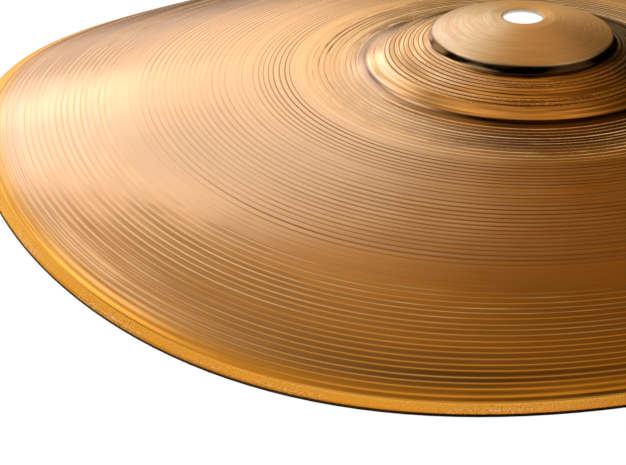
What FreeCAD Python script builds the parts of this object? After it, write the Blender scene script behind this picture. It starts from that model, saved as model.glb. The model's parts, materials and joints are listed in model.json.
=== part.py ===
import FreeCAD, Part
import math
import os

# One thin effects crash cymbal, spun from a single sheet of bronze, in millimetres.
# +Z points up out of the bell. The origin is the centre of the hole, on the underside
# of the flat land round it, where a stand's seat washer presses.
# The bell has two tiers, and the playing edge is bent into a gentle wave.

# Driving dimensions
EDGE_R = 177.8            # 14 inch cymbal, half of 355.6
HOLE_R = 6.5              # standard hole for a stand's sleeve
BELL_SHEET = 1.0          # thickness of the bell, square to its surface
EDGE_SHEET = 0.75         # thickness of the playing edge, measured upright
BOW_R = 55.0              # where the bell's foot runs out into the bow
BOW_SLOPE = 0.109         # fall of the bow per millimetre where it starts
BOW_DROP = 7.2            # extra fall of the bow at the edge
WARP = 6.7                # rise and fall of the edge about its mean height
WARP_LOBES = 3            # low lobes round the edge
WARP_LOW_DEG = -110.0     # direction of one low lobe

# Corners of the bell's upper surface: radius, height above the land, rounding radius
LAND_EDGE = (10.6, 0.0, 4.0)
CAP_CROWN = (20.4, -1.55, 75.0)
CAP_SHOULDER = (29.5, -5.25, 1.4)
CAP_FOOT = (30.4, -8.0, 1.5)
TIER_CROWN = (41.5, -11.0, 110.0)
TIER_SHOULDER = (50.95, -14.65, 1.6)
TIER_FOOT = (51.8, -15.4, 2.0)
BELL_CORNERS = (
    LAND_EDGE,
    CAP_CROWN,
    CAP_SHOULDER,
    CAP_FOOT,
    TIER_CROWN,
    TIER_SHOULDER,
    TIER_FOOT,
)

BOW_SECTORS = 48          # spans of the bow's surfaces round the axis
BOW_DEGREE = 4            # the bow's height is a quartic along its radius
JOIN_TOLERANCE = 0.001
FULL_TURN_DEG = 360.0
AXIS_FROM = FreeCAD.Vector(0, 0, 0)
AXIS = FreeCAD.Vector(0, 0, 1)

LAND_TOP = BELL_SHEET
BOW_TOP = LAND_TOP + TIER_FOOT[1] - BOW_SLOPE * (BOW_R - TIER_FOOT[0])
BOW_SHEET = BELL_SHEET * math.hypot(1, BOW_SLOPE)


def on_profile(radius, height):
    """A point of the bell's section, which lies in the XZ plane."""
    return FreeCAD.Vector(radius, 0, height)


def down_square_to(run):
    """Unit direction that points down, square to an outward run of the section."""
    return FreeCAD.Vector(run.z, 0, -run.x).normalize()


def offset_corner(before, corner, after, distance):
    """Where a corner goes when both its runs move down by distance, square to themselves."""
    both = down_square_to(corner - before) + down_square_to(after - corner)
    return corner + both * (2 * distance / both.Length ** 2)


def turns_down(before, corner, after):
    """True where the section steepens at a corner, so the sheet is wrapped over it."""
    first = corner - before
    second = after - corner
    return first.x * second.z - first.z * second.x < 0


def rounded_edges(points, roundings):
    """Straight runs through the points, joined by tangent arcs of the given radii."""
    edges = []
    start = points[0]
    for before, corner, after, radius in zip(points, points[1:], points[2:], roundings):
        towards = (before - corner).normalize()
        away = (after - corner).normalize()
        half_angle = towards.getAngle(away) / 2
        setback = radius / math.tan(half_angle)
        arc_start = corner + towards * setback
        arc_end = corner + away * setback
        arc_middle = corner + (towards + away).normalize() * (radius / math.sin(half_angle) - radius)
        edges.append(Part.makeLine(start, arc_start))
        edges.append(Part.Arc(arc_start, arc_middle, arc_end).toShape())
        start = arc_end
    edges.append(Part.makeLine(start, points[-1]))
    return edges


def bell_top_points():
    """Points of the bell's upper section, from the hole to the start of the bow."""
    points = [on_profile(HOLE_R, LAND_TOP)]
    for radius, height, rounding in BELL_CORNERS:
        points.append(on_profile(radius, LAND_TOP + height))
    points.append(on_profile(BOW_R, BOW_TOP))
    return points


def bell_bottom_points(top):
    """The same section, one sheet thickness lower."""
    points = [on_profile(HOLE_R, LAND_TOP - BELL_SHEET)]
    for before, corner, after in zip(top, top[1:], top[2:]):
        points.append(offset_corner(before, corner, after, BELL_SHEET))
    points.append(on_profile(BOW_R, BOW_TOP - BOW_SHEET))
    return points


def bell_solid():
    """The bell as a turned ring, cut off square where the bow begins."""
    top = bell_top_points()
    bottom = bell_bottom_points(top)
    top_roundings = [rounding for radius, height, rounding in BELL_CORNERS]
    bottom_roundings = []
    for before, corner, after, rounding in zip(top, top[1:], top[2:], top_roundings):
        inside = turns_down(before, corner, after)
        bottom_roundings.append(rounding - BELL_SHEET if inside else rounding + BELL_SHEET)
    hole_wall = Part.makeLine(bottom[0], top[0])
    join = Part.makeLine(top[-1], bottom[-1])
    edges = rounded_edges(top, top_roundings) + rounded_edges(bottom, bottom_roundings)
    section = Part.Wire(Part.__sortEdges__(edges + [hole_wall, join]))
    return Part.Face(section).revolve(AXIS_FROM, AXIS, FULL_TURN_DEG)


def spline_gain(harmonic):
    """How much a uniform periodic cubic spline's poles stand out beyond a wave through its knots."""
    return 3 / (2 + math.cos(harmonic * 2 * math.pi / BOW_SECTORS))


def bow_surface(start_height, edge_thinning):
    """One face of the bow: cubic round the axis, quartic along the radius.

    The height falls along a straight slope with a quartic droop towards the edge.
    The wave grows with the square of the distance from the bell, so that it leaves
    the bell's own circle flat. edge_thinning raises the underside towards the edge.
    """
    low_lobe = math.radians(WARP_LOW_DEG)
    poles = []
    for ring in range(BOW_DEGREE + 1):
        share = ring / BOW_DEGREE
        square_share = ring * (ring - 1) / (BOW_DEGREE * (BOW_DEGREE - 1))
        quartic_share = 1 if ring == BOW_DEGREE else 0
        radius = BOW_R + (EDGE_R - BOW_R) * share
        height = start_height - BOW_SLOPE * (radius - BOW_R) - BOW_DROP * quartic_share
        height += edge_thinning * square_share
        wave = WARP * square_share * spline_gain(WARP_LOBES)
        row = []
        for sector in range(BOW_SECTORS):
            angle = 2 * math.pi * (sector - 1) / BOW_SECTORS
            reach = radius * spline_gain(1)
            lift = -wave * math.cos(WARP_LOBES * (angle - low_lobe))
            row.append(FreeCAD.Vector(reach * math.cos(angle), reach * math.sin(angle), height + lift))
        poles.append(row)
    surface = Part.BSplineSurface()
    surface.buildFromPolesMultsKnots(
        poles,
        umults=[BOW_DEGREE + 1, BOW_DEGREE + 1],
        vmults=[1] * (BOW_SECTORS + 1),
        uknots=[0, 1],
        vknots=list(range(BOW_SECTORS + 1)),
        uperiodic=False,
        vperiodic=True,
        udegree=BOW_DEGREE,
        vdegree=3,
    )
    return surface


def ruled_wall(upper, under, share):
    """Upright wall between both faces of the bow, at a share of the way from bell to edge."""
    return Part.makeRuledSurface(upper.uIso(share).toShape(), under.uIso(share).toShape())


def bow_solid():
    """The bow as a closed ring between the bell and the playing edge."""
    upper = bow_surface(BOW_TOP, 0)
    under = bow_surface(BOW_TOP - BOW_SHEET, BOW_SHEET - EDGE_SHEET)
    walls = [ruled_wall(upper, under, share) for share in (0, 1)]
    skin = Part.Compound([upper.toShape(), under.toShape()] + walls)
    skin.sewShape(JOIN_TOLERANCE)
    solid = Part.Solid(skin.Shells[0])
    if solid.Volume < 0:
        solid.reverse()
    return solid


def cymbal():
    """Bell and bow are one sheet, so they join into one solid with no seam between them."""
    sheet = bell_solid().fuse([bow_solid()], JOIN_TOLERANCE)
    return sheet.Solids[0]


os.makedirs("parts", exist_ok=True)
shape = cymbal()
shape.exportStep("parts/cymbal.step")
box = shape.BoundBox
print("valid", shape.isValid(), "closed", shape.Shells[0].isClosed(), "faces", len(shape.Faces))
print("volume cm3", round(shape.Volume / 1000, 2), "height", round(box.ZMin, 3), round(box.ZMax, 3))
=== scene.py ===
import json
import math

import bpy
import numpy as np
from mathutils import Matrix, Vector


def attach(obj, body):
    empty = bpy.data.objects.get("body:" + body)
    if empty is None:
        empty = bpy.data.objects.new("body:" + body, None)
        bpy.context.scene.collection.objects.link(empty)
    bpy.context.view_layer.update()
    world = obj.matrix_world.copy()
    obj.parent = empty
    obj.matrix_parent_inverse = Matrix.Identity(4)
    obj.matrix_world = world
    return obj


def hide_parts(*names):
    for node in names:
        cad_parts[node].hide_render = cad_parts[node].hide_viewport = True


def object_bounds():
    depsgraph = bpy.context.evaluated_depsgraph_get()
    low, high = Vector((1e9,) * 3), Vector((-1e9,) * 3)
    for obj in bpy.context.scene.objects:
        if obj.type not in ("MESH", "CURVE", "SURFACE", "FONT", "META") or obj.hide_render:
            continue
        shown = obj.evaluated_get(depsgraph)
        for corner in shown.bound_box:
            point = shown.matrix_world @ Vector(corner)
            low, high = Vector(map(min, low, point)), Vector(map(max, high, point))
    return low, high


# The looks of a small effects crash cymbal: one bronze sheet with a two-tier bell,
# lathe grooves, hammer marks and a waved edge. Lengths named here are in millimetres,
# unless they come from the frame, and MM turns them into metres.

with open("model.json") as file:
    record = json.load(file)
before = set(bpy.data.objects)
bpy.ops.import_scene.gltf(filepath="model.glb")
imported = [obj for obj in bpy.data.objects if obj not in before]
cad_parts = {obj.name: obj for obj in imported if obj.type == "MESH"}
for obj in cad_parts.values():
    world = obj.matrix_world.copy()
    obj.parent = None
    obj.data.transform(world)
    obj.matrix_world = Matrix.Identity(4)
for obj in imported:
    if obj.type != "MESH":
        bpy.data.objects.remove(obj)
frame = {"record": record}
cad_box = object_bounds()

MM = 0.001
RANDOM = np.random.default_rng(14)

# The sheet, as the CAD model has it. A bell corner is a radius, a height above the flat
# land round the hole, and the radius that rounds it off.
HOLE_R = frame["record"]["mounts"][0]["dims"]["r_mm"]
EDGE_R = 177.8
BELL_SHEET = 1.0          # thickness in the bell
EDGE_SHEET = 0.75         # thickness at the playing edge
BOW_R = 55.0              # where the bell's foot runs out into the bow
BOW_SLOPE = 0.109         # fall of the bow per millimetre where it starts
BOW_DROP = 7.2            # extra fall of the bow at the edge
WARP = 6.7                # rise and fall of the edge about its mean height
WARP_LOBES = 3            # low lobes round the edge
WARP_LOW_DEG = -110.0     # direction of one low lobe
LAND_TOP = BELL_SHEET
BELL_CORNERS = (
    (10.6, 0.0, 4.0),
    (20.4, -1.55, 75.0),
    (29.5, -5.25, 1.4),
    (30.4, -8.0, 1.5),
    (41.5, -11.0, 110.0),
    (50.95, -14.65, 1.6),
    (51.8, -15.4, 2.0),
)
TIER_FOOT_R, TIER_FOOT_HEIGHT = BELL_CORNERS[-1][:2]
BOW_TOP = LAND_TOP + TIER_FOOT_HEIGHT - BOW_SLOPE * (BOW_R - TIER_FOOT_R)

# Direction of the lit side, where the key light falls: colours that face it are painted paler, as painted
# light
LIT_SIDE = (-0.985, -0.17, 0.0)

# Shallow dish that hammering leaves round the bell, too slight for the CAD model
DISH_FIRST_R = TIER_FOOT_R
DISH_LAST_R = 74.0
DISH_DEPTH = 0.65

# Mesh density, and how far short of a sharp corner the faces stop
SECTORS = 180
ARC_STEPS = 24
HOLE_EASE = 0.12
EDGE_EASE = 0.42

# Bands of lathe grooves on the upper face: first radius, last radius, pitch
TIER_BANDS = (
    (30.9, 46.5, 1.50),
    (46.5, 49.6, 1.55),
)
BOW_BANDS = (
    (52.6, 97.6, 1.78),
    (97.6, 133.0, 1.96),
    (133.0, 174.4, 1.97),
)
# Height of the tool's step in a groove, by radius. A step above zero rises gently outwards
# and drops quickly, which leaves thin dark lines; a step below zero falls gently and rises
# quickly, which leaves thin bright lines.
STEP_PROFILE = (
    (30.9, 0.100),
    (45.0, 0.100),
    (46.5, -0.020),
    (49.6, -0.020),
    (52.6, -0.190),
    (61.0, -0.160),
    (69.0, -0.090),
    (74.0, -0.040),
    (77.0, 0.030),
    (83.0, 0.045),
    (90.0, 0.034),
    (98.0, 0.050),
    (105.0, 0.064),
    (120.0, 0.060),
    (128.0, 0.030),
    (134.0, -0.010),
    (142.0, -0.050),
    (152.0, -0.100),
    (174.4, -0.120),
)
GROOVE_TURN = 0.75        # where in a groove the gentle face ends
GROOVE_SHARES = (0.0, 0.25, 0.5, GROOVE_TURN)  # where in a groove its rings lie
GEOMETRY_SHARE = 0.5      # part of each step that the mesh carries, the rest is shaded relief
PITCH_SPREAD = 0.14       # how much a groove's width differs from its band's pitch
STEP_SPREAD = (0.5, 1.45)  # how much a step's height differs from the profile
LIP_START_R = 174.6
EDGE_TURN_DEG = (60, 30, 0, -30, -60)  # rings of the rounded edge, as turns of its half circle


def arc_points(before, corner, after, radius):
    """Points along the arc that rounds one corner of a section."""
    towards = (before - corner).normalized()
    away = (after - corner).normalized()
    half_angle = towards.angle(away) / 2
    middle = (towards + away).normalized()
    centre = corner + middle * (radius / math.sin(half_angle))
    start = corner + towards * (radius / math.tan(half_angle)) - centre
    end = corner + away * (radius / math.tan(half_angle)) - centre
    turn = start.angle(end)
    points = []
    for step in range(ARC_STEPS + 1):
        share = step / ARC_STEPS
        spoke = start * math.sin((1 - share) * turn) + end * math.sin(share * turn)
        points.append(centre + spoke / math.sin(turn))
    return points


def bell_outline():
    """Radius and height of the bell's upper face, from the hole to the bow."""
    corners = [Vector((HOLE_R, LAND_TOP))]
    corners += [Vector((radius, LAND_TOP + height)) for radius, height, rounding in BELL_CORNERS]
    corners.append(Vector((BOW_R, BOW_TOP)))
    roundings = [rounding for radius, height, rounding in BELL_CORNERS]
    points = [corners[0]]
    for place, rounding in enumerate(roundings):
        points += arc_points(*corners[place:place + 3], rounding)
    points.append(corners[-1])
    return np.array([point.x for point in points]), np.array([point.y for point in points])


BELL_RADII, BELL_HEIGHTS = bell_outline()


def upper_height(radius):
    """Height of the smooth upper face at a radius, before the edge's wave."""
    bow_share = np.clip((radius - BOW_R) / (EDGE_R - BOW_R), 0, None)
    bow = BOW_TOP - BOW_SLOPE * (radius - BOW_R) - BOW_DROP * bow_share ** 4
    dish_share = np.clip((radius - DISH_FIRST_R) / (DISH_LAST_R - DISH_FIRST_R), 0, 1)
    dish = DISH_DEPTH * np.sin(math.pi * dish_share ** 0.6) ** 2
    return np.where(radius < BOW_R, np.interp(radius, BELL_RADII, BELL_HEIGHTS), bow) - dish


def wave_lift(radius, angle):
    """Rise or fall of the waved edge."""
    bow_share = np.clip((radius - BOW_R) / (EDGE_R - BOW_R), 0, None)
    return -WARP * bow_share ** 2 * np.cos(WARP_LOBES * (angle - math.radians(WARP_LOW_DEG)))


def groove_rings(first, last, pitch, turns):
    """Rings of one band of grooves: radius, rise, groove count so far, height of the step."""
    count = round((last - first) / pitch)
    widths = pitch * (1 + RANDOM.uniform(-PITCH_SPREAD, PITCH_SPREAD, count))
    widths *= (last - first) / widths.sum()
    profile_radii, profile_heights = zip(*STEP_PROFILE)
    heights = np.interp(first + np.cumsum(widths), profile_radii, profile_heights)
    heights *= RANDOM.uniform(*STEP_SPREAD, count)
    rings = []
    start = first
    for place, (width, height) in enumerate(zip(widths, heights)):
        for share in GROOVE_SHARES:
            rise = height * share / GROOVE_TURN * GEOMETRY_SHARE
            rings.append((start + width * share, rise, turns + place + share, height))
        start += width
    return rings


def plain_rings(radii, turns):
    """Rings of a stretch without grooves."""
    return [(radius, 0.0, turns, 0.0) for radius in radii]


def next_groove(rings):
    """Number of the groove that follows the last ring."""
    return math.ceil(rings[-1][2])


def upper_rings():
    """Every ring of the upper face, from the hole to the lip."""
    land = [HOLE_R + HOLE_EASE, 7.4, 8.8, 10.2, 10.6, 11.0]
    cap = np.linspace(11.8, 27.6, 13)
    cap_step = np.linspace(28.2, 30.8, 16)
    tier_step = np.linspace(49.8, 52.4, 13)
    lip = np.linspace(LIP_START_R, EDGE_R - EDGE_EASE, 5)
    rings = plain_rings([*land, *cap, *cap_step], 0)
    for band in TIER_BANDS:
        rings += groove_rings(*band, next_groove(rings))
    rings += plain_rings(tier_step, next_groove(rings))
    for band in BOW_BANDS:
        rings += groove_rings(*band, next_groove(rings))
    rings += plain_rings(lip, next_groove(rings))
    return rings


def sheet_at(radius):
    """Upright thickness of the sheet."""
    share = np.clip((radius - BOW_R) / (EDGE_R - BOW_R), 0, 1)
    return BELL_SHEET + (EDGE_SHEET - BELL_SHEET) * share ** 2


def section():
    """Closed loop of the sheet's section: radius, height, side, groove count and step height.

    The side is 1 on the upper face, 0 on the underside and a half on the rounded edge.
    """
    loop = []
    for radius, rise, turns, step_height in upper_rings():
        loop.append((radius, float(upper_height(radius)) + rise, 1.0, turns, step_height))
    edge_top = float(upper_height(EDGE_R))
    half = EDGE_SHEET / 2
    for degrees in EDGE_TURN_DEG:
        turn = math.radians(degrees)
        radius = EDGE_R - half + half * math.cos(turn)
        height = edge_top - half + half * math.sin(turn)
        loop.append((radius, height, 0.5, 0.0, 0.0))
    under_bow = np.linspace(EDGE_R - EDGE_EASE, BOW_R + 1.0, 70)
    under_tier = np.linspace(BOW_R, 27.0, 30)
    under_cap = np.linspace(26.0, HOLE_R + HOLE_EASE, 12)
    for radius in [*under_bow, *under_tier, *under_cap]:
        loop.append((radius, float(upper_height(radius) - sheet_at(radius)), 0.0, 0.0, 0.0))
    loop.append((HOLE_R, HOLE_EASE, 0.0, 0.0, 0.0))
    loop.append((HOLE_R, LAND_TOP - HOLE_EASE, 1.0, 0.0, 0.0))
    return np.array(loop)


def ring_mesh(name, loop):
    """One closed mesh: the section carried round the axis, with the edge's wave."""
    angles = np.arange(SECTORS) * 2 * math.pi / SECTORS
    radius = loop[:, 0][:, None]
    height = loop[:, 1][:, None] + wave_lift(radius, angles[None, :])
    points = np.stack([radius * np.cos(angles), radius * np.sin(angles), height], axis=-1) * MM
    rings = len(loop)
    ring, sector = np.meshgrid(np.arange(rings), np.arange(SECTORS), indexing="ij")
    next_ring = (ring + 1) % rings
    next_sector = (sector + 1) % SECTORS
    faces = np.stack([
        ring * SECTORS + sector,
        next_ring * SECTORS + sector,
        next_ring * SECTORS + next_sector,
        ring * SECTORS + next_sector,
    ], axis=-1).reshape(-1, 4)
    mesh = bpy.data.meshes.new(name)
    mesh.from_pydata(points.reshape(-1, 3).tolist(), [], faces.tolist())
    mesh.update()
    mesh.shade_smooth()
    for column, label in ((2, "upper"), (3, "turns"), (4, "step_height")):
        layer = mesh.attributes.new(label, "FLOAT", "POINT")
        layer.data.foreach_set("value", np.repeat(loop[:, column], SECTORS).astype(np.float32))
    piece = bpy.data.objects.new(name, mesh)
    bpy.context.collection.objects.link(piece)
    return piece


# Shader graph helpers

class Graph:
    """A node tree, filled by short calls."""

    def __init__(self, tree):
        self.tree = tree

    def put(self, socket, value):
        """Link a socket's value, or set a plain one."""
        if isinstance(value, bpy.types.NodeSocket):
            self.tree.links.new(value, socket)
        elif value is not None:
            socket.default_value = value

    def add(self, kind, **settings):
        node = self.tree.nodes.new(kind)
        for label, value in settings.items():
            setattr(node, label, value)
        return node

    def math(self, operation, first, second=None, third=None):
        node = self.add("ShaderNodeMath", operation=operation)
        for socket, value in zip(node.inputs, (first, second, third)):
            self.put(socket, value)
        return node.outputs[0]

    def times(self, first, second):
        return self.math("MULTIPLY", first, second)

    def plus(self, first, second):
        return self.math("ADD", first, second)

    def scaled_onto(self, value, scale, total):
        """total + value * scale"""
        return self.math("MULTIPLY_ADD", value, scale, total)

    def without(self, share, amount=1.0):
        """What is left of one when share, times amount, is taken away."""
        return self.math("MULTIPLY_ADD", share, -amount, 1.0)

    def vector(self, operation, first, second=None, third=None):
        node = self.add("ShaderNodeVectorMath", operation=operation)
        for socket, value in zip(node.inputs, (first, second, third)):
            self.put(socket, value)
        scalar = operation in ("LENGTH", "DOT_PRODUCT")
        return node.outputs["Value" if scalar else "Vector"]

    def attribute(self, label):
        return self.add("ShaderNodeAttribute", attribute_name=label).outputs["Fac"]

    def ramp(self, value, low, high, out_low=0.0, out_high=1.0):
        """Smooth change from out_low to out_high as value goes from low to high."""
        node = self.add("ShaderNodeMapRange", interpolation_type="SMOOTHSTEP")
        for socket, number in zip(node.inputs, (value, low, high, out_low, out_high)):
            self.put(socket, number)
        return node.outputs[0]

    def zone(self, value, start, full, fading, end):
        """One between full and fading, zero outside start and end."""
        return self.times(self.ramp(value, start, full), self.ramp(value, end, fading))

    def mix(self, share, first, second):
        """First colour, going over to the second by share."""
        node = self.add("ShaderNodeMix", data_type="RGBA")
        self.put(node.inputs[0], share)
        self.put(node.inputs[6], first)
        self.put(node.inputs[7], second)
        return node.outputs[2]

    def noise(self, vector, scale, detail=2.0, roughness=0.5):
        node = self.add("ShaderNodeTexNoise")
        self.put(node.inputs["Vector"], vector)
        self.put(node.inputs["Scale"], scale)
        self.put(node.inputs["Detail"], detail)
        self.put(node.inputs["Roughness"], roughness)
        return node.outputs["Fac"]


def node_material(name):
    """New material with its Principled shader, and the graph that feeds it."""
    material = bpy.data.materials.new(name)
    material.use_nodes = True
    graph = Graph(material.node_tree)
    return material, graph, material.node_tree.nodes["Principled BSDF"]


# Zones of the upper face: radii where each starts, is full, begins to fade and has ended
TIER_ZONE = (29.4, 29.9, 50.2, 50.8)
FOOT_ZONE = (50.2, 50.8, 60.0, 74.0)
# Creases at the foot of the cap's step and the tier's step, darkened by painted shade
CAP_CREVICE = (29.3, 29.8, 30.8, 33.0)
TIER_CREVICE = (50.6, 51.1, 51.9, 53.2)
INNER_GRAIN = (32.5, 34.5, 37.0, 39.0)
OUTER_GRAIN = (41.0, 42.0, 45.0, 46.0)
INNER_MARKS = (61.0, 63.0, 68.5, 70.5)
OUTER_MARKS = (133.5, 135.5, 146.0, 148.0)

# Changes of the finish along the radius: where each starts and where it is complete
HOLE_WALL = (HOLE_R + HOLE_EASE, HOLE_R + HOLE_EASE / 3)
CAP_GRAIN = (29.4, 24.0)
CAP = (29.9, 29.4)
DENTED = (52.0, 75.0)
GOLDEN_CUTS = (60.0, 90.0)
# Radii beyond which the cut lines fade from the colour on the lit side: painted light
WASHED_OUT_CUTS = (75.0, 95.0)
# Radii over which the lit side's lands get paler: painted light
PALER_LIT_LANDS = (95.0, 130.0)
DARKER_LANDS = (100.0, 146.0)
GOLD_RIM = (167.0, 175.0)
LIP = (174.1, 174.9)
SPECKED_LIP = (175.3, 176.8)

# Painted light round the axis, by how squarely a place faces the lit side: paler colours where it faces it,
# painted shade where it faces away
LIT_FACING = (0.05, 0.90)
SHADED_FACING = (-0.60, -0.90)

# Heights of the shaded relief
MARK_DEPTH = 0.06
FINE_DEPTH = 0.004
GRAIN_DEPTH = 0.09
TURNED_DEPTH = 0.10
LIP_BEND_R = 174.4
LIP_RISE = 0.28           # per millimetre of radius beyond the bend
DENT_DEPTH = 0.20

# Size of the noises that aren't turned: cells per metre
GRAIN_CELLS = 1500.0
PATCH_CELLS = 60.0
DENT_CELLS = 38.0

# Colours of the bronze
PATINA = (0.64, 0.38, 0.14, 1.0)
# Paler land colours for the lit side: painted light
LIT_LANDS_INNER = (0.84, 0.61, 0.41, 1.0)
LIT_LANDS_OUTER = (0.92, 0.67, 0.45, 1.0)
GOLDEN = (0.58, 0.37, 0.10, 1.0)
# Paler gold of the cuts on the lit side: painted light
GOLDEN_LIT = (0.98, 0.64, 0.26, 1.0)
PALE = (1.00, 0.82, 0.60, 1.0)
DIRT = (0.22, 0.115, 0.035, 1.0)
CAP_GOLDEN = (1.00, 0.70, 0.36, 1.0)
CAP_SHADE = (0.86, 0.57, 0.27, 1.0)
# Painted highlight of the cap: its lit side and its glints
CAP_HIGHLIGHT = (1.00, 0.90, 0.72, 1.0)
TIER_BRONZE = (0.64, 0.41, 0.17, 1.0)
# Painted highlight of the tier: its arcs on the lit side and its glints
TIER_HIGHLIGHT = (1.00, 0.74, 0.46, 1.0)
TIER_DIRT = (0.26, 0.13, 0.04, 1.0)
# Patina round the bell's foot, deepened to near black as painted shade where the bow mirrors the bell
FOOT_PATINA_AND_SHADE = (0.13, 0.055, 0.015, 1.0)
# Painted shade of the creases and of the tier's far side
CREVICE_SHADE = (0.055, 0.024, 0.008, 1.0)
RIM_GOLD = (0.94, 0.52, 0.07, 1.0)
EDGE_PATINA = (0.24, 0.125, 0.03, 1.0)
LIP_SPECK = (0.95, 0.86, 0.70, 1.0)
# Painted shade of the rounded edge
EDGE_SHADE = (0.10, 0.06, 0.03, 1.0)
# Near-white wall of the hole: painted light, for the white seen through it
THROUGH_HOLE_WHITE = (1.00, 0.95, 0.88, 1.0)


class Lathework:
    """What the bronze's relief, colour and roughness share: where a shaded point is on the sheet."""

    def __init__(self, graph):
        self.graph = graph
        self.place = graph.add("ShaderNodeTexCoord").outputs["Object"]
        flat = graph.vector("MULTIPLY", self.place, (1 / MM, 1 / MM, 0))
        self.radius = graph.vector("LENGTH", flat)
        self.spoke = graph.vector("NORMALIZE", flat)
        self.facing = graph.vector("DOT_PRODUCT", self.spoke, LIT_SIDE)
        # Share of painted light: one where a place faces the lit side, whose colours are painted paler
        self.lit_share = graph.ramp(self.facing, *LIT_FACING)
        self.side = graph.attribute("upper")
        self.step_height = graph.attribute("step_height")
        turns = graph.attribute("turns")
        self.within = graph.math("FRACT", turns)
        self.groove = graph.math("FLOOR", turns)
        self.fine = self.arcs_by_radius(2.6, 6.0)
        self.grain = graph.noise(self.place, GRAIN_CELLS, 3.0, 0.7)
        self.hole_wall = graph.ramp(self.radius, *HOLE_WALL)
        self.cap = graph.ramp(self.radius, *CAP)
        self.cap_grain = graph.ramp(self.radius, *CAP_GRAIN, 0.0, 0.6)
        self.tier = graph.zone(self.radius, *TIER_ZONE)
        inner_grain = graph.zone(self.radius, *INNER_GRAIN)
        self.tier_grain = graph.plus(inner_grain, graph.zone(self.radius, *OUTER_GRAIN))
        self.lip = graph.ramp(self.radius, *LIP)

    def arcs(self, across, turns_round, detail, offset=0.0):
        """Noise in arcs round the axis, with across as its coordinate from ring to ring."""
        spin = self.graph.vector("MULTIPLY", self.spoke, (turns_round, turns_round, turns_round))
        shift = self.graph.add("ShaderNodeCombineXYZ")
        self.graph.put(shift.inputs[2], self.graph.plus(across, offset))
        return self.graph.noise(self.graph.vector("ADD", spin, shift.outputs[0]), 1.0, detail)

    def arcs_by_radius(self, per_mm, turns_round, offset=0.0):
        """Noise in arcs round the axis that changes smoothly with the radius."""
        return self.arcs(self.graph.times(self.radius, per_mm), turns_round, 3.0, offset)


def bronze_relief(graph, sheet):
    """Height of the relief, in millimetres: grooves, hammer dashes, grain, the lip and dents."""
    gentle = graph.math("DIVIDE", sheet.within, GROOVE_TURN)
    quick = graph.math("DIVIDE", graph.math("SUBTRACT", 1.0, sheet.within), 1 - GROOVE_TURN)
    saw = graph.math("MINIMUM", gentle, quick)

    # Each groove's depth drifts along its arc, and hammer marks break it into dashes
    drift = graph.ramp(sheet.arcs(graph.times(sheet.groove, 0.73), 4.0, 2.0), 0.3, 0.7, 0.5, 1.4)
    dash = graph.ramp(sheet.arcs(graph.times(sheet.groove, 1.37), 9.0, 0.0, 40.0), 0.44, 0.70)
    marked = graph.plus(graph.zone(sheet.radius, *INNER_MARKS), graph.zone(sheet.radius, *OUTER_MARKS))
    step = graph.times(graph.times(sheet.step_height, drift), 1 - GEOMETRY_SHARE)
    step = graph.scaled_onto(graph.times(marked, dash), -MARK_DEPTH, step)
    relief = graph.times(step, saw)
    relief = graph.scaled_onto(sheet.fine, FINE_DEPTH, relief)

    grainy = graph.plus(sheet.tier_grain, graph.times(sheet.lip, 0.6))
    grainy = graph.plus(grainy, sheet.cap_grain)
    centred_grain = graph.math("SUBTRACT", sheet.grain, 0.5)
    relief = graph.scaled_onto(graph.times(grainy, centred_grain), GRAIN_DEPTH, relief)

    # The cap and the underside have no grooves, only the fine marks of turning
    ungrooved = graph.math("MAXIMUM", sheet.cap, graph.ramp(sheet.side, 0.2, 0.0))
    turned = graph.times(sheet.arcs_by_radius(1.3, 3.0), ungrooved)
    relief = graph.scaled_onto(turned, TURNED_DEPTH, relief)
    past_bend = graph.math("MAXIMUM", graph.math("SUBTRACT", sheet.radius, LIP_BEND_R), 0.0)
    relief = graph.scaled_onto(past_bend, LIP_RISE, relief)
    dents = graph.times(graph.noise(sheet.place, DENT_CELLS, 1.0), graph.ramp(sheet.radius, *DENTED))
    return graph.scaled_onto(dents, DENT_DEPTH, relief)


def land_colour(graph, sheet):
    """Bow between the cuts: lands painted paler on the lit side as painted light, paler still outwards,
    patina that deepens outwards elsewhere.
    """
    # Painted light: lands paler on the lit side, and paler further out
    lit_lands = graph.mix(graph.ramp(sheet.radius, *PALER_LIT_LANDS), LIT_LANDS_INNER, LIT_LANDS_OUTER)
    colour = graph.mix(sheet.lit_share, PATINA, lit_lands)
    outer = graph.times(graph.ramp(sheet.radius, *DARKER_LANDS), graph.without(sheet.lit_share))
    colour = graph.mix(outer, colour, EDGE_PATINA)
    ring_tone = graph.ramp(sheet.arcs_by_radius(1.7, 1.2, 70.0), 0.58, 0.36, 0.0, 0.24)
    return graph.mix(graph.times(ring_tone, graph.without(sheet.lit_share, 0.7)), colour, DIRT)


def cap_colour(graph, sheet):
    """Cap: golden, painted pale on the lit side as painted light, faint turned streaks, and painted
    highlights as glints in its grain on the side away from the light.
    """
    # Painted light: the cap turns pale on the lit side
    colour = graph.mix(sheet.lit_share, CAP_GOLDEN, CAP_HIGHLIGHT)
    streak = graph.ramp(sheet.arcs_by_radius(1.3, 1.4, 20.0), 0.56, 0.36, 0.0, 0.45)
    colour = graph.mix(streak, colour, CAP_SHADE)
    # Painted highlights: bright specks in the cap's grain, as glints
    glint = graph.times(sheet.cap_grain, graph.ramp(sheet.grain, 0.54, 0.66, 0.0, 0.7))
    return graph.mix(graph.times(glint, graph.without(sheet.lit_share)), colour, CAP_HIGHLIGHT)


def tier_colour(graph, sheet):
    """Tier: bright and dirty arcs by turns, painted paler on the lit side as painted light."""
    # Painted light: the tier's arcs are paler on the lit side and darker away from it
    bright = graph.mix(sheet.lit_share, TIER_BRONZE, TIER_HIGHLIGHT)
    dark = graph.mix(sheet.lit_share, TIER_DIRT, TIER_BRONZE)
    return graph.mix(graph.ramp(sheet.arcs_by_radius(1.0, 1.6), 0.38, 0.58), dark, bright)


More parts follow.
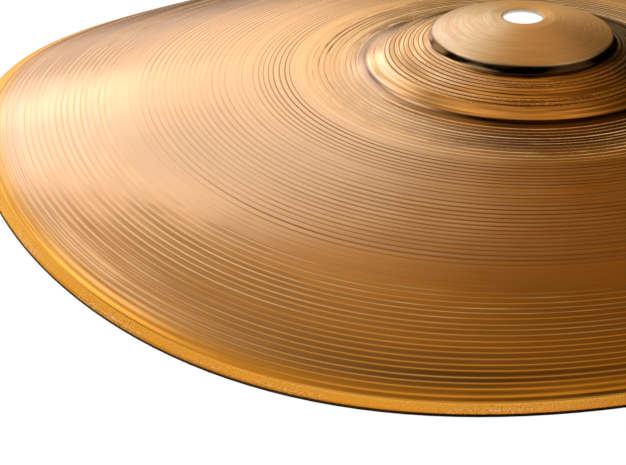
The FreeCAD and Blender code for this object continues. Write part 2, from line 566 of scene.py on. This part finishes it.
def with_gold_rim_and_painted_light(graph, sheet, colour):
    """Tier's painted glints and painted shade on its far side, patina and painted shade round the bell's
    foot, gold rim, painted shade under both steps.
    """
    # Painted highlights: bright specks in the tier's grain, as glints
    glint = graph.times(sheet.tier_grain, graph.ramp(sheet.grain, 0.52, 0.64, 0.0, 0.6))
    colour = graph.mix(glint, colour, TIER_HIGHLIGHT)
    # Painted shade: the tier darkens on the side facing away from the light
    shaded_side = graph.ramp(sheet.facing, *SHADED_FACING, 0.0, 0.8)
    colour = graph.mix(graph.times(sheet.tier, shaded_side), colour, CREVICE_SHADE)
    # Patina and painted shade round the bell's foot, less of it on the lit side
    foot = graph.times(graph.zone(sheet.radius, *FOOT_ZONE), graph.without(sheet.lit_share, 0.8))
    colour = graph.mix(foot, colour, FOOT_PATINA_AND_SHADE)
    colour = graph.mix(graph.ramp(sheet.radius, *GOLD_RIM), colour, RIM_GOLD)
    # Painted shade in the creases under both steps, less of it on the lit side
    crevices = graph.plus(graph.zone(sheet.radius, *CAP_CREVICE), graph.zone(sheet.radius, *TIER_CREVICE))
    return graph.mix(graph.times(crevices, graph.without(sheet.lit_share, 0.75)), colour, CREVICE_SHADE)


def with_cuts(graph, sheet, colour):
    """The tool's quick faces: bare metal where they rise outwards, dirt where they drop.

    The bright cuts are pale and wide at the bell, and get golden and narrow away from it.
    """
    away_from_bell = graph.ramp(sheet.radius, *GOLDEN_CUTS)
    cut_start = graph.scaled_onto(away_from_bell, 0.09, 0.64)
    cut_full = graph.plus(cut_start, 0.08)
    bright_cut = graph.zone(sheet.within, cut_start, cut_full, 0.94, 1.0)
    bright = graph.times(bright_cut, graph.ramp(sheet.step_height, -0.010, -0.040))
    dark_cut = graph.ramp(sheet.within, 0.66, 0.80)
    dark = graph.times(dark_cut, graph.ramp(sheet.step_height, 0.010, 0.045))
    # Painted light: on the lit side, away from the bell, the cut lines fade out of the colour and their
    # gold is paler
    washed_out = graph.times(graph.times(sheet.lit_share, 0.7), graph.ramp(sheet.radius, *WASHED_OUT_CUTS))
    keep = graph.without(washed_out)
    cut_gold = graph.mix(sheet.lit_share, GOLDEN, GOLDEN_LIT)
    cut_bright = graph.mix(away_from_bell, PALE, cut_gold)
    colour = graph.mix(graph.times(bright, keep), colour, cut_bright)
    return graph.mix(graph.times(dark, keep), colour, graph.mix(sheet.tier, DIRT, TIER_DIRT))


def with_edges(graph, sheet, colour):
    """Pitted and specked lip, painted shade on the rounded edge, and a near-white wall in the hole, painted
    to look like the light seen through it.
    """
    patches = graph.ramp(graph.noise(sheet.place, PATCH_CELLS, 2.0), 0.38, 0.58)
    pit = graph.times(graph.times(sheet.lip, patches), graph.ramp(sheet.grain, 0.42, 0.34, 0.0, 0.7))
    colour = graph.mix(pit, colour, DIRT)
    speck = graph.times(graph.ramp(sheet.radius, *SPECKED_LIP), graph.ramp(sheet.grain, 0.53, 0.62))
    colour = graph.mix(graph.times(speck, patches), colour, LIP_SPECK)
    # Painted shade: the rounded edge is dark, as the shade under the rim
    colour = graph.mix(graph.zone(sheet.side, 0.1, 0.3, 0.7, 0.9), colour, EDGE_SHADE)
    # Painted light: the hole's wall is near-white
    return graph.mix(sheet.hole_wall, colour, THROUGH_HOLE_WHITE)


def bronze():
    """Lathed bronze: tool marks, hammer marks, patina on the lands, bright or dirty cuts, a pitted lip,
    painted light and shade.
    """
    material, graph, shader = node_material("lathed_bronze")
    sheet = Lathework(graph)

    bump = graph.add("ShaderNodeBump")
    bump.inputs["Strength"].default_value = 1.0
    bump.inputs["Distance"].default_value = MM
    graph.put(bump.inputs["Height"], bronze_relief(graph, sheet))
    graph.put(shader.inputs["Normal"], bump.outputs[0])

    colour = land_colour(graph, sheet)
    colour = graph.mix(sheet.cap, colour, cap_colour(graph, sheet))
    colour = graph.mix(sheet.tier, colour, tier_colour(graph, sheet))
    colour = with_gold_rim_and_painted_light(graph, sheet, colour)
    colour = with_cuts(graph, sheet, colour)
    graph.put(shader.inputs["Base Color"], with_edges(graph, sheet, colour))

    rough = graph.ramp(sheet.fine, 0.3, 0.7, 0.13, 0.21)
    rough = graph.scaled_onto(sheet.cap, 0.30, rough)
    rough = graph.scaled_onto(sheet.tier, -0.03, rough)
    graph.put(shader.inputs["Roughness"], rough)
    # The hole's wall isn't metal, so that its painted white shows
    graph.put(shader.inputs["Metallic"], graph.without(sheet.hole_wall))
    shader.inputs["Anisotropic"].default_value = 0.50
    shader.inputs["Anisotropic Rotation"].default_value = 0.25
    tangent = graph.add("ShaderNodeTangent", direction_type="RADIAL", axis="Z")
    graph.put(shader.inputs["Tangent"], tangent.outputs[0])
    return material


cymbal = ring_mesh("cymbal_sheet", section())
cymbal.data.materials.append(bronze())
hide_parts("cymbal")
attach(cymbal, "root")

# Studio: soft panels of light all round the object, some of them below its horizon. Each has
# a direction, in degrees from +X and degrees up, the half angles between which its disc fades,
# and a colour.
PANELS = (
    ("key_low", 113, 8, 6, 20, (0.76, 0.60, 0.52)),
    ("key_high", 110, 32, 6, 20, (0.88, 0.75, 0.66)),
    ("key_side", 128, 21, 8, 22, (0.50, 0.45, 0.50)),
    ("key_flank", 98, 21, 4, 16, (0.32, 0.23, 0.12)),
    ("left_top", 160, 40, 8, 24, (1.15, 1.00, 0.88)),
    ("upper_left", 138, 55, 10, 30, (0.44, 0.28, 0.12)),
    ("far_left", 180, 45, 8, 30, (0.22, 0.18, 0.11)),
    ("back_low", 91, 14, 6, 17, (0.56, 0.39, 0.19)),
    ("back_dim", 78, 28, 5, 18, (0.09, 0.045, 0.01)),
    ("back_high", 85, 42, 3, 12, (0.20, 0.085, 0.01)),
    ("back_right", 73, 46, 5, 17, (0.12, 0.06, 0.01)),
    ("overhead", 90, 60, 7, 19, (0.52, 0.29, 0.09)),
    ("back_floor", 100, -38, 8, 24, (0.52, 0.37, 0.20)),
    ("back_below", 115, -12, 6, 16, (0.16, 0.10, 0.04)),
    ("left_below", 150, -9, 8, 24, (0.42, 0.30, 0.18)),
    ("front_floor", 250, -30, 15, 45, (0.33, 0.26, 0.18)),
    ("right_high", 50, 62, 8, 20, (0.28, 0.14, 0.03)),
    ("window_right", 338, 28, 12, 38, (0.80, 0.72, 0.64)),
    ("window_left", 210, 38, 10, 30, (0.60, 0.55, 0.50)),
    ("skylight", 300, 70, 8, 26, (0.30, 0.25, 0.20)),
)
AMBIENT = (0.010, 0.004, 0.001)
BACKDROP = (1.0, 1.0, 1.0, 1.0)


def studio_world():
    """World that lights the object with the panels, and is plain white to the camera."""
    world = bpy.data.worlds.new("studio")
    world.use_nodes = True
    graph = Graph(world.node_tree)
    direction = graph.add("ShaderNodeTexCoord").outputs["Generated"]
    total = AMBIENT
    for name, azimuth, elevation, inner, outer, colour in PANELS:
        turn = math.radians(azimuth)
        rise = math.radians(elevation)
        aim = (math.cos(turn) * math.cos(rise), math.sin(turn) * math.cos(rise), math.sin(rise))
        facing = graph.vector("DOT_PRODUCT", direction, aim)
        facing.node.label = name
        glow = graph.ramp(facing, math.cos(math.radians(outer)), math.cos(math.radians(inner)))
        total = graph.vector("MULTIPLY_ADD", glow, colour, total)
    seen_directly = graph.add("ShaderNodeLightPath").outputs["Is Camera Ray"]
    background = world.node_tree.nodes["Background"]
    graph.put(background.inputs["Color"], graph.mix(seen_directly, total, BACKDROP))
    bpy.context.scene.world = world


# White floor, at the height of the three low lobes of the edge. Polished metal doesn't
# mirror it, so that the panels alone make the reflections.
FLOOR_Z = cad_box[0][2]
FLOOR_HALF = 20.0         # metres


def add_floor():
    """Plane that glows white, so that it can't be told from the white world behind it."""
    corners = [
        (-FLOOR_HALF, -FLOOR_HALF, FLOOR_Z),
        (FLOOR_HALF, -FLOOR_HALF, FLOOR_Z),
        (FLOOR_HALF, FLOOR_HALF, FLOOR_Z),
        (-FLOOR_HALF, FLOOR_HALF, FLOOR_Z),
    ]
    mesh = bpy.data.meshes.new("floor")
    mesh.from_pydata(corners, [], [(0, 1, 2, 3)])
    floor = bpy.data.objects.new("floor", mesh)
    bpy.context.collection.objects.link(floor)
    material, graph, shader = node_material("floor_white")
    shader.inputs["Base Color"].default_value = (0.12, 0.12, 0.12, 1)
    shader.inputs["Roughness"].default_value = 1.0
    shader.inputs["Specular IOR Level"].default_value = 0.0
    shader.inputs["Emission Color"].default_value = (1, 1, 1, 1)
    shader.inputs["Emission Strength"].default_value = 1.0
    mesh.materials.append(material)
    floor.visible_glossy = False


studio_world()
add_floor()
bpy.context.scene.view_settings.view_transform = "Standard"

# Camera: where it stands, how far its view turns and tips from straight along +Y, and its lens
CAMERA_AT = (0.0, -574.2, 213.5 + LAND_TOP)
CAMERA_HEADING_DEG = 6.86
CAMERA_DOWN_DEG = 27.119
CAMERA_ROLL = -0.0051     # radians
CAMERA_LENS = 107.05
CAMERA_SENSOR = 36


def add_camera():
    """Camera, turned by its heading, tipped down and rolled a little."""
    heading = math.radians(CAMERA_HEADING_DEG)
    down = math.radians(CAMERA_DOWN_DEG)
    back = Vector((math.sin(heading) * math.cos(down), -math.cos(heading) * math.cos(down), math.sin(down)))
    right = (-back).cross(Vector((0, 0, 1))).normalized()
    up = right.cross(-back)
    rolled_right = math.cos(CAMERA_ROLL) * right + math.sin(CAMERA_ROLL) * up
    rolled_up = -math.sin(CAMERA_ROLL) * right + math.cos(CAMERA_ROLL) * up
    data = bpy.data.cameras.new("camera")
    data.lens = CAMERA_LENS
    data.sensor_width = CAMERA_SENSOR
    data.clip_start = 0.01
    camera = bpy.data.objects.new("camera", data)
    bpy.context.collection.objects.link(camera)
    pose = Matrix((rolled_right, rolled_up, back)).transposed().to_4x4()
    pose.translation = Vector(CAMERA_AT) * MM
    camera.matrix_world = pose
    bpy.context.scene.camera = camera


add_camera()
